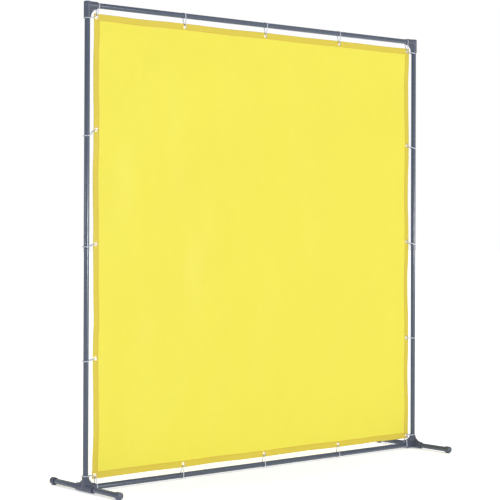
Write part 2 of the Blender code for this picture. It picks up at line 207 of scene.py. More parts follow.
class StageSettings(PropertyGroup):
    """Floor, lights and camera."""
    place: FloatVectorProperty(name="Camera place", description="Where the camera stands",
                               default=(-4.3543, -4.9399, 1.0571), subtype="TRANSLATION", unit="LENGTH")
    heading: angle("Heading", "Camera's turn from +Y towards +X", 40.828)
    pitch: angle("Pitch", "Camera's tilt above the horizon", 0.362)
    roll: angle("Roll", "Camera's turn about its own axis", 0.199)
    lens: FloatProperty(name="Lens", description="Focal length", default=109.42, unit="CAMERA")
    drop: length("Frame drop", "Downward shift, as a share of the frame's width", 0.0722, "NONE", "FACTOR")
    floor_reach: length("Floor reach", "Half the width of the floor", 40.0)
    floor: colour("Floor", "Colour of the floor", (0.95, 0.95, 0.95))
    floor_glow: length("Floor glow", "Light that the floor gives off", 0.34, "NONE", "FACTOR")
    sky: length("Sky", "Light from all round", 0.97, "NONE", "FACTOR")


# --- surfaces ---
def unit(vectors):
    """Each vector divided by its length."""
    return vectors / np.linalg.norm(vectors, axis=-1, keepdims=True)


def rounded_outline(corners, radius, steps):
    """A closed outline with an arc at each corner, its centre on the bisector at radius / sin(half)."""
    corners = np.asarray(corners, float)
    radius = np.broadcast_to(radius, len(corners)).astype(float)[:, None]
    back = unit(np.roll(corners, 1, 0) - corners)
    ahead = unit(np.roll(corners, -1, 0) - corners)
    half = np.arccos(np.clip((back * ahead).sum(1), -1, 1))[:, None] / 2
    centre = corners + unit(back + ahead) * radius / np.sin(half)
    first = corners + back * radius / np.tan(half) - centre
    last = corners + ahead * radius / np.tan(half) - centre
    start = np.arctan2(first[:, 1], first[:, 0])
    sweep = (np.arctan2(last[:, 1], last[:, 0]) - start + math.pi) % (2 * math.pi) - math.pi
    angle = start[:, None] + sweep[:, None] * np.linspace(0, 1, steps)
    arcs = centre[:, None] + radius[:, None] * np.stack([np.cos(angle), np.sin(angle)], -1)
    return arcs.reshape(-1, 2)


def quads(rows, columns, wrap_rows=False, wrap_columns=False):
    """Four-sided faces over a grid of numbered points, closed where it wraps."""
    number = np.arange(rows * columns).reshape(rows, columns)
    if wrap_rows:
        number = np.concatenate([number, number[:1]])
    if wrap_columns:
        number = np.concatenate([number, number[:, :1]], 1)
    ring = [number[:-1, :-1], number[1:, :-1], number[1:, 1:], number[:-1, 1:]]
    return np.stack([part.ravel() for part in ring], 1)


def facing_out(shell):
    """The closed shell with its faces outward: the sum of a . (b x c) over its triangles is positive."""
    points, faces = shell
    a, b, c, d = (points[faces[:, i]] for i in range(4))
    volume = (a * np.cross(b, c) + a * np.cross(c, d)).sum()
    return points, (faces if volume > 0 else faces[:, ::-1])


def turned(outline, sides):
    """A closed outline of (radius, height) turned once round Z: (r cos a, r sin a, h)."""
    angle = np.arange(sides) * 2 * math.pi / sides
    r = outline[:, 0, None]
    h = outline[:, 1, None] + 0 * angle
    points = np.stack([r * np.cos(angle), r * np.sin(angle), h], -1).reshape(-1, 3)
    return facing_out((points, quads(len(outline), sides, True, True)))


def rounded_block(extent, power, steps=20):
    """A soft-edged box: half the extent times a signed power of the sine and cosine on a sphere."""
    def soft(value):
        return np.sign(value) * np.abs(value) ** power

    up, round_ = np.meshgrid(np.linspace(-math.pi / 2, math.pi / 2, steps // 2 + 1),
                             np.arange(steps) * 2 * math.pi / steps + math.pi / steps, indexing="ij")
    flat = soft(np.cos(up))
    points = np.stack([flat * soft(np.cos(round_)), flat * soft(np.sin(round_)), soft(np.sin(up))], -1)
    points = points.reshape(-1, 3) * np.asarray(extent) / 2
    return facing_out((points, quads(steps // 2 + 1, steps, False, True)))


def moved(shell, matrix):
    """The shell's points multiplied by a matrix."""
    points, faces = shell
    matrix = np.array(matrix)
    return points @ matrix[:3, :3].T + matrix[:3, 3], faces


def joined(shells):
    """Several shells as one list of points and one of faces."""
    starts = np.cumsum([0] + [len(points) for points, _ in shells[:-1]])
    return (np.concatenate([points for points, _ in shells]),
            np.concatenate([faces + start for (_, faces), start in zip(shells, starts)]))


# --- moulded skins: a solid as a distance function, and the skin where it is zero ---
def either(a, b, r):
    """Distance to two solids run together with a fillet of radius r."""
    return np.maximum(np.minimum(a, b), r) - np.hypot(np.maximum(r - a, 0), np.maximum(r - b, 0))


def both(a, b, r):
    """Distance to what two solids share, with the edge between them rounded to radius r."""
    return np.minimum(np.maximum(a, b), -r) + np.hypot(np.maximum(a + r, 0), np.maximum(b + r, 0))


def rod(p, axis, start, end, radius, rounding):
    """Distance to a round rod along an axis, its rims rounded."""
    along = p[..., axis]
    across = np.sqrt(np.maximum((p ** 2).sum(-1) - along ** 2, 1e-18))
    return both(across - radius, np.maximum(start - along, along - end), rounding)


def settled(points, field):
    """Points carried down the slope on to the zero surface: p - f g / (g . g), three times."""
    step = 1e-5 * np.eye(3)
    for _ in range(3):
        slope = np.stack([field(points + e) - field(points - e) for e in step], -1) / 2e-5
        points = points - (field(points) / (slope ** 2).sum(-1).clip(0.25))[:, None] * slope
    return points


def skin(field, low, high, pitch):
    """The surface where a distance function is zero, as four-sided faces.

    A point stands in each grid cube that the surface crosses and a face round each grid edge that it
    cuts. The points are then evened out among their neighbours and settled on the surface.
    """
    axes = [np.arange(a - 2 * pitch, b + 3 * pitch, pitch) for a, b in zip(low, high)]
    solid = field(np.stack(np.meshgrid(*axes, indexing="ij"), -1)) < 0
    filled = np.zeros([n - 1 for n in solid.shape], int)
    for corner in np.ndindex(2, 2, 2):
        filled += solid[tuple(slice(c, n - 1 + c) for c, n in zip(corner, solid.shape))]
    crossed = (filled > 0) & (filled < 8)
    number = np.full(filled.shape, -1)
    number[crossed] = np.arange(crossed.sum())
    points = (np.argwhere(crossed) + 0.5) * pitch + [a[0] for a in axes]
    faces = []
    for axis in range(3):
        order = (axis, (axis + 1) % 3, (axis + 2) % 3)
        inside = np.transpose(solid, order).astype(int)
        cell = np.transpose(number, order)
        change = inside[:-1, 1:-1, 1:-1] - inside[1:, 1:-1, 1:-1]
        for way in (1, -1):
            i, j, k = np.nonzero(change == way)
            ring = [cell[i, j + 1, k + 1], cell[i, j, k + 1], cell[i, j, k], cell[i, j + 1, k]]
            faces.append(np.stack(ring[::way], 1))
    faces = np.concatenate(faces)
    count = np.bincount(faces.ravel(), minlength=len(points))[:, None]
    points = settled(points, field)
    for _ in range(3):
        centres = np.repeat(points[faces].mean(1), 4, 0)
        evened = np.stack([np.bincount(faces.ravel(), centres[:, i], len(points)) for i in range(3)], 1)
        points = settled(evened / count, field)
    return points, faces


# --- pieces ---
def placed(name, data):
    """A new object in the scene."""
    made = bpy.data.objects.new(name, data)
    bpy.context.scene.collection.objects.link(made)
    return made


def add_piece(name, shells, finish, body, replaced, weld=False):
    """A mesh object from shells of points and four-sided faces, riding on a body."""
    points, faces = joined(shells)
    mesh = bpy.data.meshes.new(name)
    mesh.from_pydata(points.tolist(), [], faces.tolist())
    if weld:
        edited = bmesh.new()
        edited.from_mesh(mesh)
        bmesh.ops.remove_doubles(edited, verts=edited.verts, dist=1e-6)
        edited.to_mesh(mesh)
        edited.free()
    mesh.shade_smooth()
    mesh.set_sharp_from_angle(angle=math.radians(50))
    mesh.materials.append(finish)
    piece = placed(name, mesh)
    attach(piece, body)
    if replaced:
        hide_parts(*replaced)
    return piece


def cover(node, look, shells, finish, weld=False):
    """The piece that stands for a CAD node, riding on the node's own body."""
    body = frame["nodes"][node]["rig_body"]
    return add_piece(f"{look}_{node}", shells, finish, body, [node], weld)


def vertices(mesh):
    """The mesh's points."""
    points = np.zeros(len(mesh.vertices) * 3)
    mesh.vertices.foreach_get("co", points)
    return points.reshape(-1, 3)


# --- materials ---
def tinted(base, by):
    """A colour multiplied by a number, or by one for each channel."""
    return tuple(np.minimum(1.0, np.multiply(base, by)))


class Nodes:
    """A node tree that is put together step by step."""

    def __init__(self, owner):
        owner.use_nodes = True
        self.tree = owner.node_tree

    def put(self, kind, **inputs):
        """A node with its inputs, named with _ for a space, set or linked."""
        node = self.tree.nodes.new("ShaderNode" + kind)
        for name, value in inputs.items():
            self.feed(node, name.replace("_", " "), value)
        return node

    def feed(self, node, name, value):
        """Link a socket to an input, or set the input to a value."""
        if isinstance(value, NodeSocket):
            self.tree.links.new(value, node.inputs[name])
        else:
            node.inputs[name].default_value = value

    def spread(self, value, low, high, to_low=0.0, to_high=1.0):
        """A value's range stretched over another, and held there."""
        node = self.put("MapRange", Value=value, From_Min=low, From_Max=high, To_Min=to_low, To_Max=to_high)
        return node.outputs["Result"]

    def maths(self, operation, first, second=0.0):
        """Arithmetic on two values."""
        node = self.put("Math")
        node.operation = operation
        self.feed(node, 0, first)
        self.feed(node, 1, second)
        return node.outputs["Value"]

    def mixed(self, factor, first, second):
        """One shader, and another where the factor is 1."""
        node = self.put("MixShader")
        for index, value in enumerate((factor, first, second)):
            self.feed(node, index, value)
        return node.outputs[0]


class Finish(Nodes):
    """A material over the surface's coordinates in metres."""

    def __init__(self, name):
        self.material = bpy.data.materials.new(name)
        super().__init__(self.material)
        self.shader = self.tree.nodes["Principled BSDF"]
        self.places = self.put("TexCoord").outputs

    def noise(self, scale, detail=2.0, rough=0.5, stretch=None):
        """Cloudy noise from 0 to 1, scale clouds to a metre, over a place that may be stretched."""
        place = self.places["Object"]
        if stretch:
            place = self.put("Mapping", Vector=place, Scale=stretch).outputs["Vector"]
        return self.put("TexNoise", Vector=place, Scale=scale, Detail=detail, Roughness=rough).outputs["Fac"]

    def clouds(self, low, high, *noise, **more):
        """Noise with its range from low to high spread over 0 to 1."""
        return self.spread(self.noise(*noise, **more), low, high)

    def between(self, factor, first, second, share=None):
        """A colour that goes from the first to the second with the factor, or a share of that way."""
        node = self.put("Mix")
        node.data_type = "RGBA"
        self.feed(node, 0, self.maths("MULTIPLY", factor, share) if share else factor)
        for index, value in ((6, first), (7, second)):
            self.feed(node, index, value if isinstance(value, NodeSocket) else (*value, 1.0))
        return node.outputs[2]

    def relief(self, height, depth, below=None):
        """A bump of the given depth in metres, on top of another one."""
        node = self.put("Bump", Height=height, Distance=depth, Strength=1.0)
        if below is not None:
            self.feed(node, "Normal", below)
        return node.outputs["Normal"]

    def dress(self, **inputs):
        """The material, with the Principled shader's inputs set."""
        for name, value in inputs.items():
            self.feed(self.shader, name.replace("_", " "), value)
        return self.material


def coated_tube_finish(props):
    """Semi-gloss coating on steel: orange peel, a few dull rubs and paler worn patches."""
    made = Finish("coated_tube")
    rubs = made.clouds(0.52, 0.72, 60.0, 3.0)
    dull = made.clouds(0.35, 0.75, 7.0, 3.0)
    shade = made.between(rubs, props.coat, props.worn, 0.7)
    shade = made.between(dull, shade, props.worn, 0.35)
    wear = made.maths("ADD", rubs, made.maths("MULTIPLY", dull, 0.5))
    peel = made.relief(made.noise(520.0), 0.00010)
    normal = made.relief(made.noise(2600.0), 0.00002, peel)
    return made.dress(Base_Color=shade, Specular_IOR_Level=0.22, Coat_Weight=0.75, Coat_Roughness=0.22,
                      Roughness=made.spread(wear, 0.0, 1.5, 0.27, 0.46), Normal=normal)


def moulded_finish(name, props, axis=None, plane=0.0):
    """Moulded plastic: fine spark-eroded grain, cloudy flow marks and softly polished high spots.

    With an axis, a parting line rises at a plane's distance from the middle.
    """
    made = Finish(name)
    flow = made.clouds(0.38, 0.7, 26.0, 4.0, stretch=(1, 1, 2.5))
    scuff = made.clouds(0.58, 0.75, 140.0, 4.0, 0.65)
    shade = made.between(flow, props.plastic, props.flow)
    rough = made.spread(made.maths("ADD", flow, scuff), 0.0, 2.0, 0.34, 0.58)
    normal = made.relief(scuff, 0.00003, made.relief(made.noise(3800.0, 2.0, 0.6), 0.00006))
    if axis is not None:
        side = made.maths("ABSOLUTE", made.put("SeparateXYZ", Vector=made.places["Object"]).outputs[axis])
        off = made.maths("ABSOLUTE", made.maths("SUBTRACT", side, float(plane)))
        parting = made.spread(off, props.parting / 2, props.parting, 1.0, 0.0)
        shade = made.between(parting, shade, props.flow, 0.8)
        normal = made.relief(parting, 0.00012, normal)
        rough = made.maths("SUBTRACT", rough, made.maths("MULTIPLY", parting, 0.12))
    return made.dress(Base_Color=shade, Specular_IOR_Level=0.5, Roughness=rough, Normal=normal)


def vinyl_finish(name, base, density, glow, props=None):
    """Translucent vinyl: a fine embossed grain, slow cloudiness and light from behind.

    With props it is the hem's: a ribbed weld line runs along its inner edge, and its corners are deeper, a
    painted shade for the light that four layers hold back.
    """
    made = Finish(name)
    cloud = made.clouds(0.3, 0.7, 1.7, 3.0)
    mottle = made.clouds(0.35, 0.7, 60.0, 4.0, 0.6)
    deep = tinted(base, density)
    shade = made.between(cloud, made.between(mottle, base, deep, 0.35), deep, 0.45)
    normal = made.relief(made.noise(1300.0, 3.0, 0.6), 0.00009, made.relief(made.noise(24.0), 0.0006))
    rough = made.spread(made.maths("ADD", mottle, cloud), 0.0, 2.0, 0.38, 0.52)
    if props is not None:
        weld, corner, ribs = weld_marks(made, props)
        # Painted shade: the four-layer corners are darkened towards the weld colour.
        shade = made.between(corner, shade, props.weld, 0.6)
        shade = made.between(weld, shade, props.weld, 0.85)
        normal = made.relief(made.maths("MULTIPLY", weld, ribs), 0.00012, normal)
        rough = made.maths("SUBTRACT", rough, made.maths("MULTIPLY", weld, 0.08))
    made.dress(Base_Color=shade, Specular_IOR_Level=0.20, Roughness=rough, Normal=normal)
    through = made.put("BsdfTranslucent", Color=shade, Normal=normal).outputs[0]
    blend = made.mixed(glow, made.shader.outputs[0], through)
    made.feed(made.tree.nodes["Material Output"], "Surface", blend)
    return made.material


def weld_marks(made, props):
    """On the flat layout: the weld line, the sheet's corners and the ribs across the weld.

    A point's way in from an edge is half the sheet less its distance from the middle. The lesser of its
    two ways in gives the weld, and the greater one the corners, which get a painted shade.
    """
    flat = made.put("SeparateXYZ", Vector=made.places["UV"]).outputs
    inward = [made.maths("SUBTRACT", float(whole) / 2, made.maths("ABSOLUTE", flat[axis]))
              for whole, axis in zip(SHEET_SIZE, "XY")]
    width, rim, blur = props.weld_width, 0.0006, 0.0004
    off = made.maths("SUBTRACT", made.maths("MINIMUM", *inward), props.hem - width / 2 - rim)
    weld = made.spread(made.maths("ABSOLUTE", off), width / 2, width / 2 + 0.0005, 1.0, 0.0)
    corner = made.spread(made.maths("MAXIMUM", *inward), props.hem - blur, props.hem + blur, 1.0, 0.0)
    ribs = made.maths("PINGPONG", made.maths("ADD", flat["X"], flat["Y"]), props.knurl / 2)
    return weld, corner, made.spread(ribs, 0.0, props.knurl / 2)


def eyelet_finish(props):
    """Plated metal: turned brightness with tarnish in cloudy patches and fine scratches."""
    made = Finish("eyelet_metal")
    tarnish = made.clouds(0.42, 0.72, 420.0, 4.0, 0.6)
    scratch = made.noise(900.0, 3.0, stretch=(1, 14, 1))
    return made.dress(Base_Color=made.between(tarnish, props.metal, props.tarnish), Metallic=1.0,
                      Roughness=made.spread(made.maths("ADD", tarnish, scratch), 0.3, 1.5, 0.40, 0.62),
                      Normal=made.relief(scratch, 0.00003))


def nylon_finish(props):
    """Natural nylon: cloudy and half clear, softly shining, with the strap's fine teeth."""
    made = Finish("tie_nylon")
    milk = made.clouds(0.3, 0.75, 300.0, 3.0)
    along = made.put("SeparateXYZ", Vector=made.places["UV"]).outputs["X"]
    ridges = made.spread(made.maths("PINGPONG", along, props.tooth / 2), 0.0, props.tooth / 2)
    return made.dress(Base_Color=made.between(milk, props.nylon, tinted(props.nylon, 1.08)),
                      Transmission_Weight=0.45, IOR=1.53, Specular_IOR_Level=0.5,
                      Roughness=made.spread(milk, 0.0, 1.0, 0.30, 0.42),
                      Normal=made.relief(ridges, 0.00008))


def floor_finish(props):
    """Plain pale studio floor with the faintest unevenness."""
    made = Finish("studio_floor")
    shade = made.between(made.noise(3.0, 3.0), props.floor, tinted(props.floor, 1.02))
    return made.dress(Base_Color=shade, Roughness=0.85, Specular_IOR_Level=0.2,
                      Emission_Color=(1.0, 1.0, 1.0, 1.0), Emission_Strength=props.floor_glow)


# --- the frame's pieces ---
def tube_shell(node, props):
    """A tube: the wall's rounded section turned round its CAD node's longest side."""
    extent = size(node)
    axis = int(extent.argmax())
    inner = TUBE_R - props.wall
    half = extent[axis] / 2
    section = rounded_outline([(inner, -half), (TUBE_R, -half), (TUBE_R, half), (inner, half)],
                              props.deburr, 4)
    turn = (Matrix.Rotation(math.pi / 2, 4, "Y"), Matrix.Rotation(-math.pi / 2, 4, "X"),
            Matrix.Identity(4))[axis]
    return moved(turned(section, props.sides), Matrix.Translation(middle(node)) @ turn)


def web_distance(p, first, second, reach_first, reach_second, props):
    """Distance to the web between two arms: a plate whose free edge is an arc, its sagitta the hollow."""
    a = p[..., first]
    b = p[..., second]
    across = np.abs(p[..., 3 - first - second]) - props.web / 2
    start = np.array([reach_first - props.web_setback, JOINT_R])
    end = np.array([JOINT_R, reach_second - props.web_setback])
    chord = end - start
    half = np.linalg.norm(chord) / 2
    radius = (half ** 2 + props.web_hollow ** 2) / (2 * props.web_hollow)
    away = np.array([chord[1], -chord[0]]) / (2 * half)
    centre = (start + end) / 2 + away * (radius - props.web_hollow)
    edge = radius - np.hypot(a - centre[0], b - centre[1])
    plate = both(edge, across, props.web * 0.3)
    inside = np.maximum(np.maximum(-a, -b), np.maximum(a - start[0], b - end[1]))
    return np.maximum(plate, inside)


def with_sockets(solid, p, arms, props):
    """The solid with a socket bored into each arm, given as its axis, direction and reach."""
    for axis, way, reach in arms:
        far = reach + 2 * props.lip
        deep = reach - props.socket_depth
        low, high = (deep, far) if way > 0 else (-far, -deep)
        bore = rod(p, axis, low, high, TUBE_R + props.play, props.lip * 0.5)
        solid = both(solid, -bore, props.lip * 0.6)
    return solid


def corner_distance(props):
    """Distance function of an upper joint: arms down and along +X, and the web between them."""
    def field(p):
        radial = np.hypot(p[..., 0], p[..., 1]) - JOINT_R
        upright = both(radial, p[..., 2] - CORNER_TOP, props.corner_round)
        upright = both(upright, -CORNER_ARM - p[..., 2], props.lip)
        rail = rod(p, 0, 0.0, RAIL_ARM, JOINT_R, props.lip)
        solid = either(upright, rail, props.fillet * 0.6)
        flipped = p * np.array([1, 1, -1])
        web = web_distance(flipped, 0, 2, RAIL_ARM, CORNER_ARM, props)
        solid = either(solid, web, props.fillet)
        lid = np.maximum(solid, p[..., 2] - JOINT_R)
        return with_sockets(lid, p, [(0, 1, RAIL_ARM), (2, -1, CORNER_ARM)], props)
    return field, (-JOINT_R, -JOINT_R, -CORNER_ARM), (RAIL_ARM, JOINT_R, JOINT_R)


def base_distance(props):
    """Distance function of a lower joint: arms up, along +X and along both feet, and three webs."""
    def field(p):
        upright = rod(p, 2, -JOINT_R + props.corner_round, BASE_ARM, JOINT_R, props.lip)
        feet = rod(p, 1, -FOOT_ARM, FOOT_ARM, JOINT_R, props.lip)
        rail = rod(p, 0, 0.0, RAIL_ARM, JOINT_R, props.lip)
        solid = either(either(feet, upright, props.fillet), rail, props.fillet * 0.6)
        mirrored = np.stack([p[..., 0], np.abs(p[..., 1]), p[..., 2]], -1)
        webs = either(web_distance(p, 0, 2, RAIL_ARM, BASE_ARM, props),
                      web_distance(mirrored, 1, 2, FOOT_ARM, BASE_ARM, props), props.fillet)
        solid = either(solid, webs, props.fillet)
        solid = np.maximum(solid, -JOINT_R - p[..., 2])
        return with_sockets(solid, p, [(0, 1, RAIL_ARM), (2, 1, BASE_ARM), (1, 1, FOOT_ARM),
                                       (1, -1, FOOT_ARM)], props)
    return field, (-JOINT_R, -FOOT_ARM, -JOINT_R), (RAIL_ARM, FOOT_ARM, BASE_ARM)


def cap_distance(props):
    """Distance function of a toe cap: a cup along +Y with its mouth at zero, and a flat pad below."""
    def field(p):
        radial = np.hypot(p[..., 0], p[..., 2]) - CAP_R
        cup = both(radial, p[..., 1] - CAP_LENGTH, props.cap_round)
        cup = both(cup, -p[..., 1], props.lip)
        pad_middle = CAP_LENGTH - props.pad_inset - props.pad_length / 2
        corner, rim, root, mouth = 0.0015, 0.0004, 0.001, 0.0005
        sides = both(np.abs(p[..., 0]) - props.pad_width / 2,
                     np.abs(p[..., 1] - pad_middle) - props.pad_length / 2, corner)
        under = -LOW_AXIS - p[..., 2]
        solid = either(cup, both(np.maximum(sides, p[..., 2]), under, rim), root)
        bore = rod(p, 1, -0.002, CAP_LENGTH - props.cap_end, TUBE_R + props.play, rim)
        return both(np.maximum(solid, under), -bore, mouth)
    return field, (-CAP_R, 0.0, -LOW_AXIS), (CAP_R, CAP_LENGTH, CAP_R)


def half_turn(x, y, z, turn_round):
    """A place in the frame, with the piece turned half round if asked."""
    return Matrix.Translation((x, y, z)) @ Matrix.Rotation(math.pi if turn_round else 0.0, 4, "Z")


# --- the curtain ---
BLOCK_CELLS = 8           # cells across the square round an eyelet
HOLE_RING = 0.5           # the hole is this share of that square


def block_half(props):
    """Half the square round an eyelet, which stays inside the hem."""
    return EYELET_INSET - 3 * props.thickness


def grid_lines(places, edge, props):
    """The sheet's grid lines across it: closer in each eyelet's square, even between them."""
    half = block_half(props)
    knots = {-edge, edge, -edge + props.hem, edge - props.hem}
    blocks = set()
    for place in np.unique(np.round(places, 4)):
        knots |= {place - half, place + half}
        blocks.add(round(place - half, 6))
    knots = np.array(sorted(knots))
    lines = [knots[:1]]
    for low, high in zip(knots[:-1], knots[1:]):
        cells = BLOCK_CELLS if round(low, 6) in blocks else math.ceil((high - low) / props.cell)
        lines.append(np.linspace(low, high, cells + 1)[1:])
    return np.concatenate(lines)


def open_holes(s, t, holes, radius, half):
    """Grid points with each square round a hole drawn in to a circle, and how far out each point lies.

    Each ring of the square is a blend, from all circle at the hole to all square at the rim.
    """
    out = np.full(s.shape, 9.0)
    for x, z in holes:
        a = (s - x) / half
        b = (t - z) / half
        ring = np.maximum(np.abs(a), np.abs(b))
        near = ring < 1.0 - 1e-9
        spoke = np.maximum(np.hypot(a, b), 1e-9)
        square = np.clip((ring - HOLE_RING) / (1 - HOLE_RING), 0, 1)
        pull = ring * radius / half / HOLE_RING / spoke
        factor = np.where(near, (1 - square) * pull + square, 1.0)
        s = x + (s - x) * factor
        t = z + (t - z) * factor
        out = np.where(near, np.minimum(out, ring), out)
    return s, t, out


def hang(s, t, props):
    """Where a point of the flat sheet hangs, s across and t up from its middle.

    Out of plane it follows a few slow sines, each faded at every eyelet by 1 - exp(-(d / reach)^4).
    Each edge draws in between its eyelets by sine squared, faded inwards.
    """
    fade, reach, band, span = np.ones_like(s), 0.12, 0.10, 1.8
    for x, z in EYELETS.values():
        near = ((s - x) ** 2 + (t - z + SHEET_Z) ** 2) / reach ** 2
        fade = fade * (1 - np.exp(-near ** 2))
    waves = ((1.0, 2.1, 0.4, 0.3), (0.75, -3.4, 1.3, 1.9), (0.55, 5.2, 0.9, 4.0), (0.45, 1.1, -3.9, 2.6),
             (0.30, 8.3, -1.7, 0.9), (0.26, -6.1, 4.6, 5.1), (0.16, 13.0, 2.2, 3.3), (0.12, 9.4, -8.2, 1.4))
    depth = sum(deep * np.sin(2 * math.pi * (across * s + up * t) / span + phase)
                for deep, across, up, phase in waves)
    flat = np.stack([s, t])
    half = SHEET_SIZE[:, None, None] / 2
    pitch = 2 * (half - EYELET_INSET) / (TIES - 1)
    between = np.sin(math.pi * (flat + half - EYELET_INSET) / pitch) ** 2
    edge = np.exp(-((half - np.abs(flat)) / band) ** 2)
    x, z = flat - np.sign(flat) * props.scallop * between[::-1] * edge
    return np.stack([x, props.wave * fade * depth, z + SHEET_Z], -1)


def cloth_patch(s, t, lift, holes, props, eyelets):
    """Points and faces of a patch of cloth, lifted off the sheet, with its holes open."""
    air = 0.0002
    flat_s, flat_t, out = open_holes(s, t, holes, eyelets.hole + eyelets.barrel + air, block_half(props))
    points = hang(flat_s, flat_t, props)
    points[..., 1] += lift
    faces = quads(*s.shape)
    kept = faces[(out.ravel()[faces] > HOLE_RING + 0.1).any(1)]
    used, faces = np.unique(kept, return_inverse=True)
    flat = np.stack([flat_s, flat_t], -1).reshape(-1, 2)[used]
    return points.reshape(-1, 3)[used], faces.reshape(-1, 4), flat


def add_cloth(name, patch, finish, props, replaced):
    """A piece of cloth with its flat layout as UV in metres and its thickness from Solidify."""
    points, faces, flat = patch
    piece = add_piece(name, [(points, faces)], finish, "curtain", replaced)
    layout = piece.data.uv_layers.new(name="flat_layout")
    layout.data.foreach_set("uv", flat[faces.ravel()].astype(np.float32).ravel())
    wall = piece.modifiers.new("thickness", "SOLIDIFY")
    wall.thickness = props.thickness
    wall.offset = 0.0
    return piece


def hem_shape(side, columns, rows, props):
    """Grid of a hem's flap and its lift: level at the weld, puffed between there and the fold."""
    half_w, half_h = SHEET_SIZE / 2
    if side in ("top", "bottom"):
        rows = rows[rows >= half_h - props.hem - 1e-7]
        rows = rows if side == "top" else -rows[::-1]
    else:
        columns = columns[columns >= half_w - props.hem - 1e-7]
        columns = columns if side == "right" else -columns[::-1]
        rows = rows[np.abs(rows) <= half_h - props.hem + 1e-7]
    t, s = np.meshgrid(rows, columns, indexing="ij")
    inward = half_h - np.abs(t) if side in ("top", "bottom") else half_w - np.abs(s)
    share = np.clip(inward / (props.hem - props.seam), 0, 1)
    lift = props.thickness * 1.06 + props.puff * np.sin(math.pi * share) ** 2
    return s, t, lift


# --- eyelets and ties ---
def eyelet_shell(props, curtain):
    """A barrel with a domed flange on each face of the hem, turned round Y."""
    air, crest = 0.00005, props.hole + 0.0016
    front = -curtain.thickness / 2 - air
    back = curtain.thickness * 1.56 + curtain.puff + air
    barrel = props.hole + props.barrel
    corners = [(props.hole, front - props.crown * 0.8), (crest, front - props.crown),
               (FLANGE_R, front - props.rim), (FLANGE_R, front), (barrel, front), (barrel, back),
               (FLANGE_R, back), (FLANGE_R, back + props.rim), (crest, back + props.crown),
               (props.hole, back + props.crown * 0.8)]
    radii = [0.0004, 0.0012, 0.00018, 0.00012, 0.0001]
    outline = rounded_outline(corners, radii + radii[::-1], 5)
    return moved(turned(outline, 48), Matrix.Rotation(-math.pi / 2, 4, "X"))


def loop_line(props, count):
    """Even points and normals of the strap's middle line: two arcs, joined by their tangents."""
    big = TUBE_R + props.tube_gap + props.thickness / 2
    small = props.end_radius + props.thickness / 2
    reach = props.crossing - small
    wrap = math.acos((big - small) / reach)
    far = np.linspace(wrap, 2 * math.pi - wrap, 240)
    near = np.linspace(-wrap, wrap, 120)
    x = np.concatenate([big * np.cos(far), reach + small * np.cos(near), [big * math.cos(wrap)]])
    y = np.concatenate([big * np.sin(far), small * np.sin(near), [big * math.sin(wrap)]])
    run = np.concatenate([[0], np.cumsum(np.hypot(np.diff(x), np.diff(y)))])
    even = np.arange(count) * run[-1] / count
    line = np.stack([np.interp(even, run, x), np.interp(even, run, y)], -1)
    along = unit(np.roll(line, -1, 0) - np.roll(line, 1, 0))
    return line, np.stack([along[:, 1], -along[:, 0]], -1)


def tie_shells(props):
    """The strap's loop, then its head, ledge and trimmed tail: the tube's axis on Z, the eyelet at +X."""
    line, normal = loop_line(props, 112)
    half_t, half_w = props.thickness / 2, props.width / 2
    section = rounded_outline([(-half_t, -half_w), (half_t, -half_w), (half_t, half_w), (-half_t, half_w)],
                              props.thickness * 0.28, 3)
    across = line[:, None] + normal[:, None] * section[None, :, :1]
    points = np.concatenate([across, np.broadcast_to(section[None, :, 1:], (*across.shape[:2], 1))], -1)
    strap = facing_out((points.reshape(-1, 3), quads(*across.shape[:2], True, True)))
    out = TUBE_R + props.tube_gap + props.thickness / 3 + props.head_height / 2
    turn = Matrix.Rotation(props.head_angle, 4, "Z")
    high, long, wide = props.head_height, props.head_length, props.head_width
    blocks = (((high, long, wide), 0.28, (out, 0, 0)),
              ((high * 0.42, long * 0.5, wide * 0.72), 0.28, (out + high * 0.36, 0, 0)),
              ((props.thickness, props.tail + 0.0012, props.width), 0.2,
               (out + high * 0.12, (long + props.tail) / 2 - 0.0006, 0)))
    return [strap] + [moved(rounded_block(extent, power), turn @ Matrix.Translation(place))
                      for extent, power, place in blocks]


def leant(shell, slant, props):
    """The tie level round its tube, then climbing evenly to the eyelet by the CAD tie's slant.

    With m the share of the way, it climbs (m + root of m^2 + knee^2) / 2 of the whole rise.
    """
    points, faces = shell
    start, knee = TUBE_R * 0.45, 0.15
    share = (points[:, 0] - start) / (props.crossing - start)
    climb = (share + np.sqrt(share ** 2 + knee ** 2)) / 2
    return points + np.outer(climb * slant * props.crossing, [0.0, 0.0, 1.0]), faces


def tie_place(side, node):
    """How a tie stands: the matrix from its own axes, and the slope of a line fitted to its CAD points."""
    x, z, facing = {"left": (-HALF_WIDTH, 0, 0), "right": (HALF_WIDTH, 0, 180), "top": (0, HIGH_AXIS, 90),
                    "bottom": (0, LOW_AXIS, -90)}[side]
    place = Matrix.Translation((x, 0, z)) @ Matrix.Rotation(math.radians(facing), 4, "Y")
    local, _ = moved((vertices(frame["nodes"][node].data), None), place.inverted())
    slant, start = np.polyfit(local[:, 0], local[:, 2], 1)
    return place @ Matrix.Translation((0, 0, start)), slant


def lay_teeth(mesh, to_local):
    """Give a tie a UV whose U is the way round the tube and along the strap, in metres."""
    local, _ = moved((vertices(mesh), None), to_local)
    corner = np.zeros(len(mesh.loops), np.int32)
    mesh.loops.foreach_get("vertex_index", corner)
    way = np.abs(np.arctan2(local[:, 1], local[:, 0])) * TUBE_R - local[:, 0]
    layout = mesh.uv_layers.new(name="strap_layout")
    layout.data.foreach_set("uv", np.stack([way, local[:, 2]], -1)[corner].astype(np.float32).ravel())


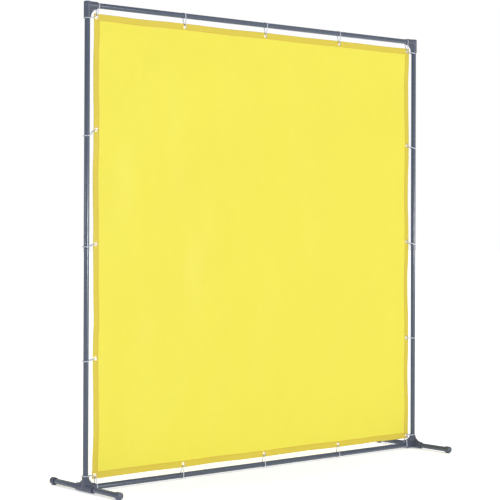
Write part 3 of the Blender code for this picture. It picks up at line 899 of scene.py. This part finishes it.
# --- floor, lights and camera ---
def add_floor(props):
    """A flat pale floor just under the toe pads."""
    reach = props.floor_reach
    mesh = bpy.data.meshes.new("studio_floor")
    mesh.from_pydata([(-reach, -reach, 0), (reach, -reach, 0), (reach, reach, 0), (-reach, reach, 0)],
                     [], [(0, 1, 2, 3)])
    mesh.materials.append(floor_finish(props))
    floor = placed("studio_floor", mesh)


def add_sky(context, props):
    """Even light from all round, white to look at, and dimmer behind in what the gloss mirrors."""
    world = bpy.data.worlds.new("studio")
    context.scene.world = world
    made = Nodes(world)
    place = made.put("TexCoord").outputs["Generated"]
    rays = made.put("LightPath").outputs

    def sky(strength, towards, low, high):
        """A sky that brightens evenly along a direction, from low to high."""
        share = made.put("VectorMath")
        share.operation = "DOT_PRODUCT"
        made.feed(share, 0, place)
        made.feed(share, 1, towards)
        ramp = made.spread(share.outputs["Value"], -1.0, 1.0, low, high)
        return made.put("Background", Color=ramp, Strength=strength).outputs[0]

    heading = props.heading
    soft = sky(props.sky, (1.0, 0.0, 0.0), 0.84, 1.14)
    sheen = sky(props.sky, (-math.sin(heading), -math.cos(heading), 0.35), 0.10, 0.95)
    shown = sky(1.0, (1.0, 0.0, 0.0), 1.0, 1.0)
    mix = made.mixed(rays["Is Camera Ray"], made.mixed(rays["Is Glossy Ray"], soft, sheen), shown)
    made.feed(world.node_tree.nodes["World Output"], "Surface", mix)


def add_lamps():
    """Large soft boxes, and lamps that draw only sheens, with a weaker one of their own for the rails."""
    lamps = (("key_box", (3.2, -3.4, 3.4), 3.0, 3.0, 25.0, None),
             ("fill_box", (-3.0, -4.6, 2.6), 3.0, 3.0, 10.0, None),
             ("back_box", (-1.0, 4.2, 3.0), 3.5, 3.5, 15.0, None),
             ("sheen_right", (1.6, -7.4, 1.05), 1.3, 0.9, 390.0, "EXCLUDE"),
             ("sheen_left", (-5.2, 0.5, 1.25), 0.8, 0.7, 24.0, "EXCLUDE"),
             ("sheen_rails", (1.6, -7.4, 1.05), 1.3, 0.9, 110.0, "INCLUDE"))
    rails = {}
    for state in ("EXCLUDE", "INCLUDE"):
        rails[state] = bpy.data.collections.new(f"rails_{state.lower()}")
        for name in ("coated_top_rail", "coated_bottom_rail"):
            if name in bpy.data.objects:
                rails[state].objects.link(bpy.data.objects[name])
        for held in rails[state].collection_objects:
            held.light_linking.link_state = state
    for name, place, width, height, power, state in lamps:
        lamp = bpy.data.lights.new(name, "AREA")
        lamp.shape = "RECTANGLE"
        lamp.size, lamp.size_y = width, height
        lamp.energy = power
        made = placed(name, lamp)
        made.location = place
        aim = Vector((0, 0, SHEET_Z)) - made.location
        made.rotation_euler = aim.to_track_quat("-Z", "Y").to_euler()
        made.visible_camera = False
        if state:
            made.visible_diffuse = made.visible_transmission = False
            made.light_linking.receiver_collection = rails[state]


def add_camera(context, props):
    """Camera level with the curtain's middle, off its left front corner."""
    camera = placed("camera", bpy.data.cameras.new("camera"))
    turn = Matrix.Rotation(-props.heading, 4, "Z") @ Matrix.Rotation(math.pi / 2 + props.pitch, 4, "X")
    turn = turn @ Matrix.Rotation(props.roll, 4, "Z")
    camera.matrix_world = Matrix.Translation(props.place) @ turn
    camera.data.lens = props.lens
    camera.data.shift_y = -props.drop
    context.scene.camera = camera


# --- operators ---
class CURTAIN_OT_tubes(Operator):
    """Make the posts, rails and foot tubes"""
    bl_idname = "curtain_screen.tubes"
    bl_label = "Tubes"

    def execute(self, context):
        props = context.scene.screen_tubes
        finish = coated_tube_finish(props)
        nodes = ["post_left", "post_right", "top_rail", "bottom_rail"]
        nodes += [f"foot_tube_{end}_{side}" for end in ENDS for side in SIDES]
        for node in nodes:
            cover(node, "coated", [tube_shell(node, props)], finish)
        return {"FINISHED"}


class CURTAIN_OT_joints(Operator):
    """Make the moulded corner and base joints"""
    bl_idname = "curtain_screen.joints"
    bl_label = "Joints"

    def execute(self, context):
        props = context.scene.screen_joints
        upper = moulded_finish("moulded_corner_joint", props, "Y")
        lower = moulded_finish("moulded_base_joint", props, "X", HALF_WIDTH)
        for kind, height, shape, finish in (
                ("corner_joint", HIGH_AXIS, corner_distance(props), upper),
                ("base_joint", LOW_AXIS, base_distance(props), lower)):
            shell = skin(*shape, props.pitch)
            for side, way in SIDES.items():
                place = half_turn(way * HALF_WIDTH, 0, height, way > 0)
                cover(f"{kind}_{side}", "moulded", [moved(shell, place)], finish)
        return {"FINISHED"}


class CURTAIN_OT_caps(Operator):
    """Make the four toe caps"""
    bl_idname = "curtain_screen.caps"
    bl_label = "Toe caps"

    def execute(self, context):
        props = context.scene.screen_joints
        finish = moulded_finish("toe_cap", props)
        shell = skin(*cap_distance(props), props.pitch * 0.7)
        for end, way in ENDS.items():
            for side in SIDES:
                node = f"toe_cap_{end}_{side}"
                x, y, _ = middle(node)
                place = half_turn(x, y - way * CAP_LENGTH / 2, LOW_AXIS, way < 0)
                cover(node, "moulded", [moved(shell, place)], finish)
        return {"FINISHED"}


class CURTAIN_OT_eyelets(Operator):
    """Make the metal eyelets in the curtain's hem"""
    bl_idname = "curtain_screen.eyelets"
    bl_label = "Eyelets"

    def execute(self, context):
        props = context.scene.screen_eyelets
        finish = eyelet_finish(props)
        shell = eyelet_shell(props, context.scene.screen_curtain)
        for node, (x, z) in EYELETS.items():
            cover(node, "metal", [moved(shell, Matrix.Translation((x, 0, z)))], finish)
        return {"FINISHED"}


class CURTAIN_OT_curtain(Operator):
    """Make the vinyl curtain and its four hems"""
    bl_idname = "curtain_screen.curtain"
    bl_label = "Curtain"

    def execute(self, context):
        props = context.scene.screen_curtain
        eyelets = context.scene.screen_eyelets
        plain = vinyl_finish("yellow_vinyl", props.vinyl, (0.985, 0.955, 0.90), 0.38)
        # The hems take a darker copy of the same vinyl: painted shade for the light that two layers hold
        # back.
        doubled = vinyl_finish("doubled_vinyl_painted_shade", props.doubled, (0.98, 0.94, 0.85), 0.20, props)
        half_w, half_h = SHEET_SIZE / 2
        holes = [(x, z - SHEET_Z) for x, z in EYELETS.values()]
        columns = grid_lines([x for x, _ in holes], half_w, props)
        rows = grid_lines([z for _, z in holes], half_h, props)
        t, s = np.meshgrid(rows, columns, indexing="ij")
        patch = cloth_patch(s, t, 0.0, holes, props, eyelets)
        sheet = add_cloth("vinyl_curtain", patch, plain, props, ["curtain"])
        sheet.data.materials.append(doubled)
        flat = patch[2][patch[1]].mean(1)
        inside = (np.abs(flat[:, 0]) < half_w - props.hem) & (np.abs(flat[:, 1]) < half_h - props.hem)
        sheet.data.polygons.foreach_set("material_index", (~inside).astype(np.int32))
        for side in EDGES:
            patch = cloth_patch(*hem_shape(side, columns, rows, props), holes, props, eyelets)
            add_cloth(f"hem_{side}", patch, doubled, props, [])
        return {"FINISHED"}


class CURTAIN_OT_ties(Operator):
    """Make the cable ties that hold the curtain"""
    bl_idname = "curtain_screen.ties"
    bl_label = "Cable ties"

    def execute(self, context):
        props = context.scene.screen_ties
        finish = nylon_finish(props)
        shells = tie_shells(props)
        for side in EDGES:
            for number in range(1, TIES + 1):
                node = f"cable_tie_{side}_{number}"
                place, slant = tie_place(side, node)
                leaning = [moved(leant(shell, slant, props), place) for shell in shells]
                tie = cover(node, "nylon", leaning, finish, weld=True)
                lay_teeth(tie.data, place.inverted())
        return {"FINISHED"}


class CURTAIN_OT_stage(Operator):
    """Set the floor, the lights and the camera"""
    bl_idname = "curtain_screen.stage"
    bl_label = "Stage"

    def execute(self, context):
        props = context.scene.screen_stage
        add_floor(props)
        add_sky(context, props)
        add_lamps()
        add_camera(context, props)
        context.scene.view_settings.view_transform = "Standard"
        return {"FINISHED"}


OPERATORS = (CURTAIN_OT_tubes, CURTAIN_OT_joints, CURTAIN_OT_caps,
             CURTAIN_OT_eyelets, CURTAIN_OT_curtain, CURTAIN_OT_ties,
             CURTAIN_OT_stage)
SETTINGS = {"screen_tubes": TubeSettings, "screen_joints": JointSettings,
            "screen_curtain": CurtainSettings, "screen_eyelets": EyeletSettings,
            "screen_ties": TieSettings, "screen_stage": StageSettings}


class CURTAIN_PT_panel(Panel):
    """Lists what the add-on makes, and its settings"""
    bl_idname = "CURTAIN_PT_panel"
    bl_label = "Curtain Screen"
    bl_space_type = "VIEW_3D"
    bl_region_type = "UI"
    bl_category = "Curtain Screen"

    def draw(self, context):
        for operator in OPERATORS:
            self.layout.operator(operator.bl_idname)
        for name, group in SETTINGS.items():
            box = self.layout.box()
            box.label(text=group.__doc__)
            for setting in group.__annotations__:
                box.prop(getattr(context.scene, name), setting)


def register():
    """Register the classes and hang the settings on the scene."""
    for group in (*SETTINGS.values(), *OPERATORS, CURTAIN_PT_panel):
        bpy.utils.register_class(group)
    for name, group in SETTINGS.items():
        setattr(bpy.types.Scene, name, PointerProperty(type=group))


def unregister():
    """Take the settings off the scene and unregister the classes."""
    for name in SETTINGS:
        delattr(bpy.types.Scene, name)
    for group in reversed((*SETTINGS.values(), *OPERATORS, CURTAIN_PT_panel)):
        bpy.utils.unregister_class(group)


def main():
    """Register the add-on and make every piece, then the stage."""
    register()
    for operator in OPERATORS:
        group, name = operator.bl_idname.split(".")
        getattr(getattr(bpy.ops, group), name)()


if __name__ == "__main__":
    main()
